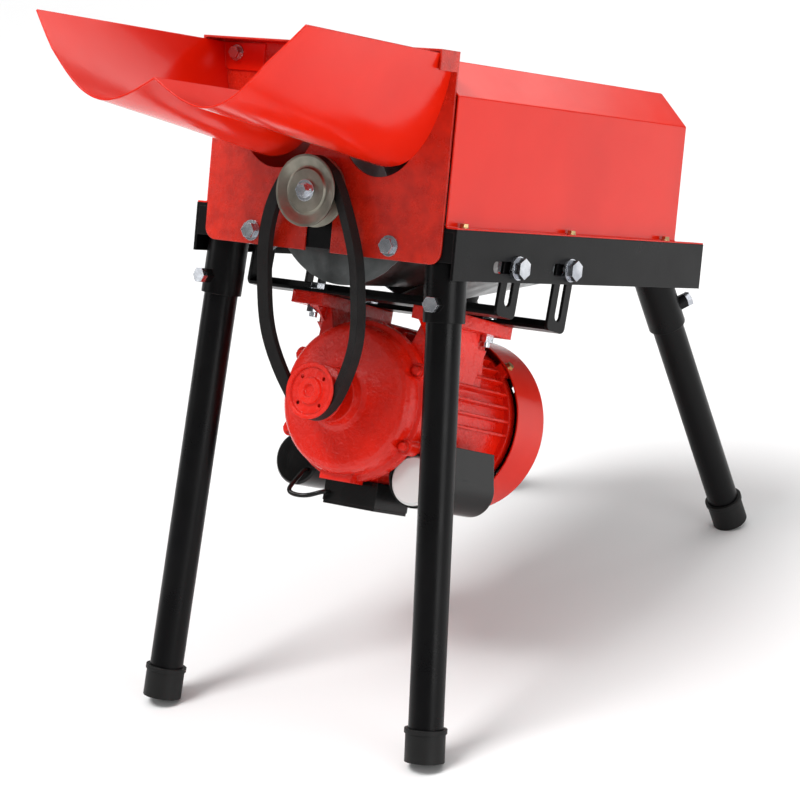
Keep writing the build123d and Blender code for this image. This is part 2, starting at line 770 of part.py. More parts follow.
# ================================================================ straps and cross bars
def straps(index):
    """The pair of slotted straps at one station of the cradle."""
    y = STRAP_Y[index]
    low = STRAP_Z[0]
    high = STRAP_Z[1][index]
    pieces = []
    for sign in (-1, 1):
        inner = sign * STRAP_IN
        with BuildPart() as strap:
            with BuildSketch(side(inner, CRADLE)):
                with Locations((y, (low + high) / 2)):
                    RectangleRounded(STRAP_W, high - low, 6)
                with Locations((y, (low + 10 + high - 6) / 2)):
                    SlotOverall(high - low - 16, SLOT_H, rotation=90, mode=Mode.SUBTRACT)
            extrude(amount=sign * STRAP_T)
        pieces.append(strap.part)
    return pieces


save("front_straps", joined("front_straps", straps(0)))
save("rear_straps", joined("rear_straps", straps(1)))


def crossbar(y):
    """Angle bar under the motor feet between a pair of straps."""
    with BuildPart() as bar:
        add(block(CRADLE, (-BAR_HALF, BAR_HALF), (y - 15, y + 15), (-46, -43)))
        add(block(CRADLE, (-BAR_HALF, BAR_HALF), (y + 12, y + 15), (-46, -35)))
        with BuildSketch(level(-46, CRADLE)):
            with Locations((-FOOT_BOLT_X, y), (FOOT_BOLT_X, y)):
                Circle(4.0)
        extrude(amount=10, mode=Mode.SUBTRACT)
    return bar.part


save("front_crossbar", crossbar(STRAP_Y[0]))
save("rear_crossbar", crossbar(STRAP_Y[1]))

FEET = [(s * FOOT_BOLT_X, y) for s in (-1, 1) for y in STRAP_Y]
bolts = [hex_bolt(level(-43, CRADLE, x, y), 4.0, 26.0, 13.0, 5.3, (8.0, 1.5)) for x, y in FEET]
nuts = [hex_nut(level(-58, CRADLE, x, y), 4.0, 13.0, 6.5) for x, y in FEET]
save("motor_foot_bolts", joined("motor_foot_bolts", bolts + nuts))

# ================================================================ motor
MOTOR_AXIS = side(0, CRADLE, z=MOTOR_Z)
SHIELD_BOLT_R = SHIELD_R - 0.5
SHIELD_BOLTS = [(SHIELD_BOLT_R * cos(radians(a)), SHIELD_BOLT_R * sin(radians(a))) for a in (28, 152, 208, 332)]


def cap_cutter(cap, grow, ys):
    """Cylinder round a capacitor used to clear or seat the parts beside it."""
    return tube(front(ys[1], CRADLE, cap[0], cap[1]), cap[2] + grow, 0, ys[1] - ys[0])


with BuildPart() as motor_front_shield:
    add(
        turned(
            MOTOR_AXIS,
            [
                (4, BORE_R + 2),
                (4, SHIELD_R),
                (-5, SHIELD_R),
                (-7, SHIELD_R - 4.5),
                (-19, SHIELD_R - 5.5),
                (-23.5, SHIELD_R - 7),
                (-26.5, SHIELD_R - 10),
                (-28, SHIELD_R - 14),
                (-30, SHIELD_R - 26),
                (-33, SHIELD_R - 44),
                (-35, 27.5),
                (-45, 25),
                (-45, 12),
                (-24, 12),
                (-24, MOTOR_BEARING[0]),
                (-10, MOTOR_BEARING[0]),
                (-10, 30),
                (-20, 34),
                (-17, BORE_R - 4),
                (-10, BORE_R + 2),
            ],
        )
    )
    for x, z in SHIELD_BOLTS:
        with BuildSketch(front(4, CRADLE, x, MOTOR_Z + z)):
            Circle(7.5)
            Circle(2.5, mode=Mode.SUBTRACT)
        extrude(amount=14)
    with BuildSketch(front(4, CRADLE, 0, MOTOR_Z)):
        with Locations((0, -SHIELD_R + 3)):
            Rectangle(36, 8)
    extrude(amount=20)
    with BuildSketch(front(30, CRADLE, 0, MOTOR_Z)):
        Circle(BORE_R + 2)
    extrude(amount=40, mode=Mode.SUBTRACT)
    for x, z in SHIELD_BOLTS:
        add(tube(front(-10, CRADLE, x, MOTOR_Z + z), 6.4, 0, 20), mode=Mode.SUBTRACT)
        add(tube(front(6, CRADLE, x, MOTOR_Z + z), 2.5, 0, 20), mode=Mode.SUBTRACT)
save("motor_front_shield", motor_front_shield.part)

shield_bolt_seats = [front(-10, CRADLE, x, MOTOR_Z + z) for x, z in SHIELD_BOLTS]
save("shield_bolts", joined("shield_bolts", [hex_bolt(s, 2.5, 22, 8.0, 3.5, (5.5, 1.0)) for s in shield_bolt_seats]))

FIN_COUNT = 36
FIN_MID = HOUSING_R + 2.0
BOX_TOP = MOTOR_Z - HOUSING_R - 2.5
with BuildPart() as stator_housing:
    add(tube(front(HOUSING_Y[1], CRADLE, 0, MOTOR_Z), HOUSING_R, 0, HOUSING_Y[1] - HOUSING_Y[0]))
    for i in range(FIN_COUNT):
        angle = i * 360 / FIN_COUNT + 5
        c, s = cos(radians(angle)), sin(radians(angle))
        near_cap = abs((angle - 322 + 180) % 360 - 180) < 24 or abs((angle - 219 + 180) % 360 - 180) < 19
        near_box = abs((angle - 270 + 180) % 360 - 180) < 28
        if near_cap or near_box:
            continue
        fin_root = (c * FIN_MID, HOUSING_Y[1] - 4, MOTOR_Z + s * FIN_MID)
        fin = within(CRADLE, Plane(origin=fin_root, x_dir=(c, 0, s), z_dir=(0, -1, 0)))
        with BuildSketch(fin):
            Rectangle(2 * (FIN_R - FIN_MID), 2.6)
        extrude(amount=HOUSING_Y[1] - HOUSING_Y[0] - 8)
    for x, z in SHIELD_BOLTS:
        add(tube(front(16, CRADLE, x, MOTOR_Z + z), 7.5, 0, 12))
    for sign in (-1, 1):
        xs = sorted((sign * 52, sign * 88))
        add(block(CRADLE, xs, (-14, 105), (-58, -46)))
        with BuildSketch(front(105, CRADLE)):
            with BuildLine():
                Polyline(
                    (sign * 53, -58),
                    (sign * 60, -58),
                    (sign * 63, MOTOR_Z + 41.5),
                    (sign * (HOUSING_R - 4), MOTOR_Z + 16.5),
                    (sign * 40, MOTOR_Z + 31.5),
                    (sign * 44, MOTOR_Z + 57.5),
                    close=True,
                )
            make_face()
        extrude(amount=105 - HOUSING_Y[0])
        with BuildSketch(side(sign * 58, CRADLE)):
            with BuildLine():
                Polyline((-12, -57), (103, -57), (84, MOTOR_Z + 32), (48, MOTOR_Z + 32), close=True)
            make_face()
        extrude(amount=sign * 10)
    add(block(CRADLE, (-28, 28), (14, 66), (BOX_TOP, BOX_TOP + 14)))
    for cap in (START_CAP, RUN_CAP):
        angle = degrees(atan2(cap[1] - MOTOR_Z, cap[0]))
        c, s = cos(radians(angle)), sin(radians(angle))
        reach = HOUSING_R + 10
        pad = within(CRADLE, Plane(origin=(c * reach, 110, MOTOR_Z + s * reach), x_dir=(c, 0, s), z_dir=(0, -1, 0)))
        with BuildSketch(pad):
            Rectangle(26, 18)
        extrude(amount=60)
        add(cap_cutter(cap, 0.0, (-60, 160)), mode=Mode.SUBTRACT)
    add(tube(front(160, CRADLE, 0, MOTOR_Z), BORE_R, 0, 170), mode=Mode.SUBTRACT)
    with BuildSketch(level(-70, CRADLE)):
        with Locations(*FEET):
            Circle(4.0)
    extrude(amount=30, mode=Mode.SUBTRACT)
    with BuildSketch(level(-58, CRADLE)):
        with Locations(*FEET):
            Circle(9.0)
    extrude(amount=-14, mode=Mode.SUBTRACT)
    for x, z in SHIELD_BOLTS:
        add(tube(front(20, CRADLE, x, MOTOR_Z + z), 2.5, 0, 30), mode=Mode.SUBTRACT)
save("stator_housing", stator_housing.part)

save("stator_core", tube(front(128, CRADLE, 0, MOTOR_Z), BORE_R, 35.0, 100))
save("rotor_core", tube(front(128, CRADLE, 0, MOTOR_Z), 34.4, MOTOR_SHAFT_R + 2, 100))
BEARINGS = [front(y, CRADLE, 0, MOTOR_Z) for y in (-10, 164)]
rings = [tube(b, MOTOR_BEARING[0], MOTOR_SHAFT_R + RUN_FIT, MOTOR_BEARING[1]) for b in BEARINGS]
save("motor_bearings", joined("motor_bearings", rings))

LUG_R = FAN_COVER_R - 13.5
with BuildPart() as motor_rear_shield:
    add(
        turned(
            MOTOR_AXIS,
            [
                (148, BORE_R + 2),
                (148, SHIELD_R),
                (157, SHIELD_R),
                (161, SHIELD_R - 6),
                (163, 34),
                (167, 28),
                (167, 12),
                (164, 12),
                (164, MOTOR_BEARING[0]),
                (150, MOTOR_BEARING[0]),
                (150, 29),
                (157, 34),
                (156, BORE_R - 2),
                (152, BORE_R + 2),
            ],
        )
    )
    for a in (45, 135, 225, 315):
        c, s = cos(radians(a)), sin(radians(a))
        lug = within(CRADLE, Plane(origin=(c * LUG_R, 158, MOTOR_Z + s * LUG_R), x_dir=(c, 0, s), z_dir=(0, -1, 0)))
        with BuildSketch(lug):
            with Locations((1.3, 0)):
                Rectangle(19, 14)
        extrude(amount=9)
    for a in (45, 135, 225, 315):
        c, s = cos(radians(a)), sin(radians(a))
        with BuildSketch(aimed((c * (LUG_R + 2), 153.5, MOTOR_Z + s * (LUG_R + 2)), (c, 0, s), CRADLE)):
            Circle(2.0)
        extrude(amount=20, mode=Mode.SUBTRACT)
save("motor_rear_shield", motor_rear_shield.part)

with BuildPart() as fan_cover:
    r = FAN_COVER_R
    add(
        turned(
            MOTOR_AXIS,
            [
                (148.5, r),
                (197, r),
                (206, r - 5),
                (212, r - 17),
                (215, r - 40),
                (215.5, 0),
                (214, 0),
                (213.5, r - 40),
                (210.6, r - 18),
                (205, r - 6.3),
                (196.4, r - 1.5),
                (148.5, r - 1.5),
            ],
        )
    )
    for ring, count in ((24, 6), (38, 10), (52, 14)):
        for i in range(count):
            angle = 360 / count * i
            c, s = cos(radians(angle)), sin(radians(angle))
            vent_root = (c * ring, 220, MOTOR_Z + s * ring)
            vent = within(CRADLE, Plane(origin=vent_root, x_dir=(c, 0, s), z_dir=(0, -1, 0)))
            with BuildSketch(vent):
                SlotOverall(11, 6)
            extrude(amount=16, mode=Mode.SUBTRACT)
    for a in (45, 135, 225, 315):
        c, s = cos(radians(a)), sin(radians(a))
        with BuildSketch(aimed((c * (LUG_R + 2), 153.5, MOTOR_Z + s * (LUG_R + 2)), (c, 0, s), CRADLE)):
            Circle(2.0)
        extrude(amount=20, mode=Mode.SUBTRACT)
save("fan_cover", fan_cover.part)

screws = []
for a in (45, 135, 225, 315):
    c, s = cos(radians(a)), sin(radians(a))
    seat = aimed((c * (r + 0.1), 153.5, MOTOR_Z + s * (r + 0.1)), (c, 0, s), CRADLE)
    screws.append(hex_bolt(seat, 2.0, 10.0, 7.0, 2.8, (4.5, 0.8)))
save("fan_cover_screws", joined("fan_cover_screws", screws))

with BuildPart() as terminal_box:
    add(block(CRADLE, (-30, 30), (12, 68), (BOX_TOP - 24, BOX_TOP)))
    add(block(CRADLE, (-27, 27), (15, 65), (BOX_TOP - 26, BOX_TOP - 3)), mode=Mode.SUBTRACT)
save("terminal_box", terminal_box.part)
with BuildPart() as terminal_box_lid:
    with BuildSketch(level(BOX_TOP - 27, CRADLE)):
        with Locations((0, 40)):
            RectangleRounded(60, 56, 2)
    extrude(amount=3)
save("terminal_box_lid", terminal_box_lid.part)

x, z, r = START_CAP
CAP_SPAN = (4.0, 112.0)
with BuildPart() as start_capacitor_cover:
    with BuildSketch(front(CAP_SPAN[1], CRADLE)):
        with Locations((x, z)):
            Circle(r)
        with BuildLine():
            Polyline((x + r, z), (x + r - 7, z + r + 12), (x + 9, z + r + 10), (x, z), close=True)
        make_face()
    extrude(amount=CAP_SPAN[1] - CAP_SPAN[0])
    fillet(start_capacitor_cover.faces().sort_by(Axis((0, 0, 0), CRADLE.y_dir))[-1].edges(), radius=4)
    add(cap_cutter((x, z, r - 1.6), 0, (CAP_SPAN[0] - 1, CAP_SPAN[1] - 3)), mode=Mode.SUBTRACT)
    with BuildSketch(side(x - 60, CRADLE)):
        with BuildLine():
            Polyline((CAP_SPAN[0] - 1, z + 6), (CAP_SPAN[0] - 1, z - 40), (CAP_SPAN[0] + 9, z - 40), close=True)
        make_face()
    extrude(amount=120, mode=Mode.SUBTRACT)
save("start_capacitor_cover", start_capacitor_cover.part)
CAP_AXIS = side(x, CRADLE, z=z)
CAN_R = r - 2.2
can = [(5, 0), (5, CAN_R - 2), (7, CAN_R), (100, CAN_R), (100, 0)]
save("start_capacitor", turned(CAP_AXIS, can))
x, z, r = RUN_CAP
RUN_AXIS = side(x, CRADLE, z=z)
save("run_capacitor", turned(RUN_AXIS, [(26, 0), (26, r - 2), (28, r), (134, r), (140, r - 6), (140, 0)]))

LEAD_R = 2.2
lead_drop = BOX_TOP + 214.0
lead_points = [
    (RUN_CAP[0] + 16, 26, RUN_CAP[1] - 8),
    (RUN_CAP[0] + 17, 8, RUN_CAP[1] - 20),
    (-58, -4, -236 + lead_drop),
    (-40, 0, -237 + lead_drop),
    (-24, 11.9, -230 + lead_drop),
]
with BuildPart() as capacitor_lead:
    with BuildLine() as lead_line:
        path = [CRADLE.from_local_coords(Vector(*p)) for p in lead_points]
        Spline(*path, tangents=(-CRADLE.y_dir, CRADLE.y_dir))
    with BuildSketch(Plane(origin=path[0], z_dir=-CRADLE.y_dir)):
        Circle(LEAD_R)
    sweep()
save("capacitor_lead", capacitor_lead.part)

face = MOTOR_PULLEY_FACE
back = face + PULLEY_W
save(
    "motor_shaft",
    turned(
        MOTOR_AXIS,
        [
            (face + 5, 0),
            (face + 5, MOTOR_SHAFT_R - 1.5),
            (-46, MOTOR_SHAFT_R - 1.5),
            (-46, MOTOR_SHAFT_R),
            (20, MOTOR_SHAFT_R),
            (20, MOTOR_SHAFT_R + 2),
            (135, MOTOR_SHAFT_R + 2),
            (135, MOTOR_SHAFT_R),
            (192, MOTOR_SHAFT_R),
            (192, 0),
        ],
    ),
)
with BuildPart() as motor_pulley:
    add(
        turned(
            MOTOR_AXIS,
            [(back + 8, MOTOR_SHAFT_R - 1.5), (back + 8, 17), (back, 17), (back, MOTOR_PULLEY_R)]
            + groove(MOTOR_PULLEY_R, BELT_W, GROOVE_DEPTH, face + PULLEY_W / 2)[::-1]
            + [
                (face, MOTOR_PULLEY_R),
                (face, 22.5),
                (face + 2.2, 21.5),
                (face + 2.2, 13.0),
                (face - 1.5, 12.0),
                (face - 1.5, 6.0),
                (face + 1.0, 5.5),
                (face + 1.0, 0),
                (face + 4.9, 0),
                (face + 4.9, MOTOR_SHAFT_R - 1.5),
            ],
        )
    )
    with BuildSketch(front(face, CRADLE, 0, MOTOR_Z)):
        with PolarLocations(17.2, 4, start_angle=45):
            Circle(1.8)
    extrude(amount=-4.0, mode=Mode.SUBTRACT)
save("motor_pulley", motor_pulley.part)

with BuildPart() as cooling_fan:
    add(tube(front(190, CRADLE, 0, MOTOR_Z), 20, MOTOR_SHAFT_R, 20))
    add(tube(front(173, CRADLE, 0, MOTOR_Z), 70, MOTOR_SHAFT_R, 2.5))
    for i in range(8):
        c, s = cos(radians(45 * i)), sin(radians(45 * i))
        blade = within(CRADLE, Plane(origin=(c * 44, 190, MOTOR_Z + s * 44), x_dir=(c, 0, s), z_dir=(0, -1, 0)))
        with BuildSketch(blade):
            Rectangle(52, 2.4)
        extrude(amount=19)
save("cooling_fan", cooling_fan.part)

# ================================================================ drive belt
BELT_TOP_R = PULLEY_R - BELT_SINK - BELT_T / 2
BELT_LOW_R = MOTOR_PULLEY_R - BELT_SINK - BELT_T / 2
BELT_BULGE = 50.0
BELT_ASIDE = 2.5


def on_pulley(frame, centre_y, centre_z, radius, angle):
    """World point on a pulley's belt circle."""
    a = radians(angle)
    return frame.from_local_coords(Vector(radius * cos(a), centre_y, centre_z + radius * sin(a)))


motor_mid = face + PULLEY_W / 2
top_arc = [on_pulley(MACHINE, PULLEY_MID, SHAFT_Z, BELT_TOP_R, a) for a in (40, 65, 90, 115, 140)]
low_arc = [on_pulley(CRADLE, motor_mid, MOTOR_Z, BELT_LOW_R, a) for a in (220, 245, 270, 295, 320)]
upper = MACHINE.from_local_coords(Vector(0, PULLEY_MID, SHAFT_Z))
lower = CRADLE.from_local_coords(Vector(0, motor_mid, MOTOR_Z))


def strand(sign):
    """Bulging strand points from the upper pulley to the lower one."""
    shares = ((0.12, 0.84), (0.30, 1.0), (0.50, 1.04), (0.72, 0.98), (0.92, 0.70))
    shift = Vector(-BELT_ASIDE, 0, 0)
    return [upper + (lower - upper) * t + Vector(sign * BELT_BULGE * w, 0, 0) + shift for t, w in shares]


BELT_STATIONS = 16  # sections per half loop
belt_loop = Edge.make_spline(top_arc + strand(-1) + low_arc + strand(1)[::-1], periodic=True)


def belt_section(share):
    """Trapezoid section of the belt at a share of its loop, wide back outward."""
    origin = belt_loop @ share
    along = belt_loop % share
    fall = min(max((upper.Z - origin.Z) / (upper.Z - lower.Z), 0.0), 1.0)
    across = MACHINE.y_dir * (1 - fall) + CRADLE.y_dir * fall
    across = (across - along * across.dot(along)).normalized()
    wide = BELT_W / 2
    narrow = wide - 3.0
    thick = BELT_T / 2
    with BuildSketch(Plane(origin=origin, x_dir=across, z_dir=along)) as section:
        with BuildLine():
            Polyline((-wide, -thick), (wide, -thick), (narrow, thick), (-narrow, thick), close=True)
        make_face()
    return section.sketch


with BuildPart() as drive_belt:
    for half in (0.0, 0.5):
        loft(sections=[belt_section(half + 0.5 * i / BELT_STATIONS) for i in range(BELT_STATIONS + 1)])
save("drive_belt", drive_belt.part)
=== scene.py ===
"""Looks of the small electric corn sheller: finishes, a cleaned copy of the drive belt, floor, lights and
camera (metres).
"""

import json
import logging
import math
from dataclasses import dataclass, field
from enum import Enum

import bmesh
import bpy
from mathutils import Matrix, Vector

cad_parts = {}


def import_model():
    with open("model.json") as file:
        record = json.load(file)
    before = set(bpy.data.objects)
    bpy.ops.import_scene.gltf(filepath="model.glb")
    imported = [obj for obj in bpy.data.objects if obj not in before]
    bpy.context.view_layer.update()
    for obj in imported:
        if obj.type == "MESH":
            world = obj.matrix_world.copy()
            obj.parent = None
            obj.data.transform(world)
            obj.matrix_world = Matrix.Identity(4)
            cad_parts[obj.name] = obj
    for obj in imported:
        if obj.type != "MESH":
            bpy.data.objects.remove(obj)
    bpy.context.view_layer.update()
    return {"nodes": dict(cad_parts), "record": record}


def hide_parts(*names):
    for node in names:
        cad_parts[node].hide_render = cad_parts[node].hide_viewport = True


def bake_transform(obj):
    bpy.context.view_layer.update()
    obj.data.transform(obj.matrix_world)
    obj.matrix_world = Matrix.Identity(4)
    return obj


LOG = logging.getLogger("corn_sheller")

PITCH = math.radians(18.1)  # fall of the rails toward the rear
RAIL_TOP = 0.3928  # height of the rail tops at mid length
FORE_SHIFT = 0.081627  # world y of the rails' mid length
SHAFT_ABOVE_RAILS = 0.0213
DUST = (0.55, 0.50, 0.44, 1)
DARK_DUST = (0.25, 0.24, 0.22, 1)
RUBBED_METAL = (0.85, 0.85, 0.86, 1)
MERGE_GAP = 0.00002


class Grain(Enum):
    """Which way the fine marks on a metal run."""

    TURNED = "turned"
    DRAWN = "drawn"
    NONE = "none"


def tilted(origin: tuple[float, float, float], pitch: float) -> Matrix:
    """Return a frame whose y axis points rearward and down.

    Args:
        origin: Where the frame's origin lies.
        pitch: Angle of its y axis below level, in radians.

    Returns:
        The frame as a matrix.
    """
    return Matrix.Translation(origin) @ Matrix.Rotation(-pitch, 4, "X")


MACHINE = tilted((0.0, FORE_SHIFT, RAIL_TOP), PITCH)
DRUM_AXIS = MACHINE @ Matrix.Translation((0.0, 0.0, SHAFT_ABOVE_RAILS))


# ------------------------------------------------------------------ node tree helper
class Tree:
    """Short way to write a node tree."""

    def __init__(self, tree: bpy.types.NodeTree) -> None:
        """Keep the tree that nodes are added to."""
        self.tree = tree

    def add(self, kind: str, values: dict | None = None, **settings: object) -> bpy.types.Node:
        """Add a node.

        Args:
            kind: Node type name.
            values: Socket name or index to a value, or to a socket that feeds it.
            **settings: Properties of the node itself.

        Returns:
            The new node.
        """
        node = self.tree.nodes.new(kind)
        for name, value in settings.items():
            setattr(node, name, value)
        for name, value in (values or {}).items():
            if isinstance(value, bpy.types.NodeSocket):
                self.tree.links.new(value, node.inputs[name])
            else:
                node.inputs[name].default_value = value
        return node

    def math(
        self, operation: str, first: object, second: object = 0.0, clamp: bool = False
    ) -> bpy.types.NodeSocket:
        """Add a Math node.

        Args:
            operation: The node's operation.
            first: First value or socket.
            second: Second value or socket.
            clamp: Whether the result is kept between 0 and 1.

        Returns:
            The result socket.
        """
        node = self.add("ShaderNodeMath", {0: first, 1: second}, operation=operation, use_clamp=clamp)
        return node.outputs[0]

    def blend(self, share: object, first: object, second: object) -> bpy.types.NodeSocket:
        """Mix two colours.

        Args:
            share: How much of the second colour shows.
            first: First colour or socket.
            second: Second colour or socket.

        Returns:
            The result socket.
        """
        node = self.tree.nodes.new("ShaderNodeMix")
        node.data_type = "RGBA"
        for index, value in ((0, share), (6, first), (7, second)):
            if isinstance(value, bpy.types.NodeSocket):
                self.tree.links.new(value, node.inputs[index])
            else:
                node.inputs[index].default_value = value
        return node.outputs[2]

    def ranged(
        self, value: object, low: float, high: float, to_low: object, to_high: object
    ) -> bpy.types.NodeSocket:
        """Map a value from one range to another, clamped.

        Args:
            value: Value or socket to map.
            low: Start of the range that it comes from.
            high: End of that range.
            to_low: Start of the range that it goes to, a value or a socket.
            to_high: End of that range.

        Returns:
            The result socket.
        """
        node = self.add("ShaderNodeMapRange", {0: value, 1: low, 2: high, 3: to_low, 4: to_high})
        return node.outputs[0]

    def noise(
        self, vector: bpy.types.NodeSocket, scale: object, detail: float, **more: float
    ) -> bpy.types.NodeSocket:
        """Add a noise texture.

        Args:
            vector: Socket that places the pattern.
            scale: Scale or socket.
            detail: Octaves of detail.
            **more: Further inputs by name, such as Roughness or Distortion.

        Returns:
            The value socket.
        """
        values = {"Vector": vector, "Scale": scale, "Detail": detail, **more}
        return self.add("ShaderNodeTexNoise", values).outputs[0]

    def place(self) -> bpy.types.NodeSocket:
        """Return a socket with the place on the object."""
        return self.add("ShaderNodeTexCoord").outputs["Object"]

    def bump(
        self, height: bpy.types.NodeSocket, normal: bpy.types.NodeSocket, strength: float, depth: float
    ) -> bpy.types.NodeSocket:
        """Add a bump.

        Args:
            height: Socket with the height.
            normal: Socket with the normal that it starts from.
            strength: Share of the effect.
            depth: Height in metres that a full value stands for.

        Returns:
            The normal socket.
        """
        values = {"Height": height, "Normal": normal, "Strength": strength, "Distance": depth}
        return self.add("ShaderNodeBump", values).outputs[0]


def new_group(
    name: str, inputs: dict[str, float], outputs: dict[str, str]
) -> tuple[bpy.types.NodeTree, Tree, bpy.types.Node, bpy.types.Node]:
    """Start a shader node group.

    Args:
        name: Name of the group.
        inputs: Float input names and their defaults.
        outputs: Output names and their socket types.

    Returns:
        The group, its tree helper, its input node and its output node.
    """
    group = bpy.data.node_groups.new(name, "ShaderNodeTree")
    for label, value in inputs.items():
        socket = group.interface.new_socket(label, in_out="INPUT", socket_type="NodeSocketFloat")
        socket.default_value = value
    for label, kind in outputs.items():
        group.interface.new_socket(label, in_out="OUTPUT", socket_type=kind)
    tree = Tree(group)
    return group, tree, tree.add("NodeGroupInput"), tree.add("NodeGroupOutput")


class Effects:
    """The shared surface effects, each a node group made once."""

    def __init__(self) -> None:
        """Build every group."""
        self.edge = self._edge_wear()
        self.peel = self._peel()
        self.dust = self._dust()
        self.marks = self._marks()

    @staticmethod
    def _edge_wear() -> bpy.types.NodeTree:
        """Mask of rubbed edges, broken up by noise, with the softened normal."""
        group, t, given, out = new_group(
            "edge_wear",
            {"Radius": 0.0012, "Breakup": 180.0, "Amount": 0.5},
            {"Mask": "NodeSocketFloat", "Normal": "NodeSocketVector"},
        )
        soft = t.add("ShaderNodeBevel", {"Radius": given.outputs["Radius"]}, samples=6)
        plain = t.add("ShaderNodeNewGeometry")
        pair = {0: soft.outputs[0], 1: plain.outputs["Normal"]}
        dot = t.add("ShaderNodeVectorMath", pair, operation="DOT_PRODUCT")
        edge = t.ranged(dot.outputs["Value"], 0.985, 0.80, 0.0, 1.0)
        noise = t.noise(t.place(), given.outputs["Breakup"], 4.0, Roughness=0.65)
        broken = t.ranged(noise, 0.46, 0.66, 0.0, 1.0)
        mask = t.math("MULTIPLY", t.math("MULTIPLY", edge, broken), given.outputs["Amount"], clamp=True)
        t.tree.links.new(mask, out.inputs["Mask"])
        t.tree.links.new(soft.outputs[0], out.inputs["Normal"])
        return group

    @staticmethod
    def _peel() -> bpy.types.NodeTree:
        """Height of the slight waviness of a sprayed coat over a coarser base."""
        group, t, given, out = new_group(
            "coat_peel",
            {"Fine": 900.0, "Coarse": 90.0, "Coarse Share": 0.3},
            {"Height": "NodeSocketFloat"},
        )
        place = t.place()
        fine = t.noise(place, given.outputs["Fine"], 2.0)
        coarse = t.noise(place, given.outputs["Coarse"], 3.0)
        height = t.math("ADD", fine, t.math("MULTIPLY", coarse, given.outputs["Coarse Share"]))
        t.tree.links.new(height, out.inputs["Height"])
        return group

    @staticmethod
    def _dust() -> bpy.types.NodeTree:
        """Mask of the faint dust that settles on faces that look up."""
        group, t, given, out = new_group(
            "dust_film",
            {"Amount": 0.1, "Scale": 22.0},
            {"Mask": "NodeSocketFloat"},
        )
        normal = t.add("ShaderNodeNewGeometry")
        up = t.add("ShaderNodeSeparateXYZ", {0: normal.outputs["Normal"]})
        facing = t.ranged(up.outputs["Z"], 0.2, 1.0, 0.0, 1.0)
        noise = t.noise(t.place(), given.outputs["Scale"], 6.0)
        patchy = t.ranged(noise, 0.35, 0.75, 0.0, 1.0)
        mask = t.math("MULTIPLY", t.math("MULTIPLY", facing, patchy), given.outputs["Amount"], clamp=True)
        t.tree.links.new(mask, out.inputs["Mask"])
        return group

    @staticmethod
    def _marks() -> bpy.types.NodeTree:
        """Fine scuffs and smudges that vary the gloss."""
        group, t, given, out = new_group(
            "handling_marks",
            {"Scale": 30.0, "Low": 0.2, "High": 0.4},
            {"Roughness": "NodeSocketFloat"},
        )
        place = t.place()
        cloudy = t.noise(place, given.outputs["Scale"], 5.0, Roughness=0.6)
        scratch = t.noise(place, 420.0, 2.0, Distortion=1.5)
        both = t.math("ADD", t.math("MULTIPLY", cloudy, 0.75), t.math("MULTIPLY", scratch, 0.25))
        spread = t.ranged(both, 0.35, 0.65, given.outputs["Low"], given.outputs["High"])
        t.tree.links.new(spread, out.inputs["Roughness"])
        return group


def start_material(name: str) -> tuple[bpy.types.Material, Tree, bpy.types.Node]:
    """Start a material with one Principled shader.

    Args:
        name: Name of the material.

    Returns:
        The material, its tree helper and its shader.
    """
    material = bpy.data.materials.new(name)
    material.use_nodes = True
    tree = Tree(material.node_tree)
    return material, tree, material.node_tree.nodes["Principled BSDF"]


def use(tree: Tree, group: bpy.types.NodeTree, values: dict | None = None) -> bpy.types.Node:
    """Place a node group in a tree.

    Args:
        tree: Where it goes.
        group: The group.
        values: Input name to a value, or to a socket that feeds it.

    Returns:
        The group's node.
    """
    node = tree.tree.nodes.new("ShaderNodeGroup")
    node.node_tree = group
    for name, value in (values or {}).items():
        if isinstance(value, bpy.types.NodeSocket):
            tree.tree.links.new(value, node.inputs[name])
        else:
            node.inputs[name].default_value = value
    return node


# ------------------------------------------------------------------ finishes
@dataclass(frozen=True)
class Paint:
    """Sprayed enamel over sheet or castings."""

    name: str
    colour: tuple[float, float, float]
    shade: tuple[float, float, float]
    under: tuple[float, float, float] = (0.30, 0.29, 0.28)
    rough: tuple[float, float] = (0.16, 0.26)
    coat: float = 0.5
    fine: float = 900.0
    coarse: float = 60.0
    coarse_share: float = 0.4
    bump: float = 0.05
    edge_radius: float = 0.0012
    wear: float = 0.20
    dust: float = 0.03
    specular: float = 0.5
    tone_scale: float = 7.0

    def build(self, effects: Effects) -> bpy.types.Material:
        """Build the material."""
        material, t, shader = start_material(self.name)
        edge = use(t, effects.edge, {"Radius": self.edge_radius, "Amount": self.wear})
        marks = use(t, effects.marks, {"Low": self.rough[0], "High": self.rough[1]})
        dust = use(t, effects.dust, {"Amount": self.dust})
        waves = {"Fine": self.fine, "Coarse": self.coarse, "Coarse Share": self.coarse_share}
        peel = use(t, effects.peel, waves)
        tone = t.noise(t.place(), self.tone_scale, 3.0)
        body = t.blend(t.ranged(tone, 0.35, 0.65, 0.0, 1.0), (*self.colour, 1), (*self.shade, 1))
        worn = t.blend(edge.outputs["Mask"], body, (*self.under, 1))
        dusty = t.blend(dust.outputs["Mask"], worn, DUST)
        rough = t.math("ADD", marks.outputs[0], t.math("MULTIPLY", dust.outputs["Mask"], 0.8), clamp=True)
        bump = t.bump(peel.outputs[0], edge.outputs["Normal"], self.bump, 0.001)
        links = t.tree.links
        links.new(dusty, shader.inputs["Base Color"])
        links.new(rough, shader.inputs["Roughness"])
        links.new(bump, shader.inputs["Normal"])
        shader.inputs["Coat Weight"].default_value = self.coat
        shader.inputs["Coat Roughness"].default_value = 0.08
        shader.inputs["Specular IOR Level"].default_value = self.specular
        return material


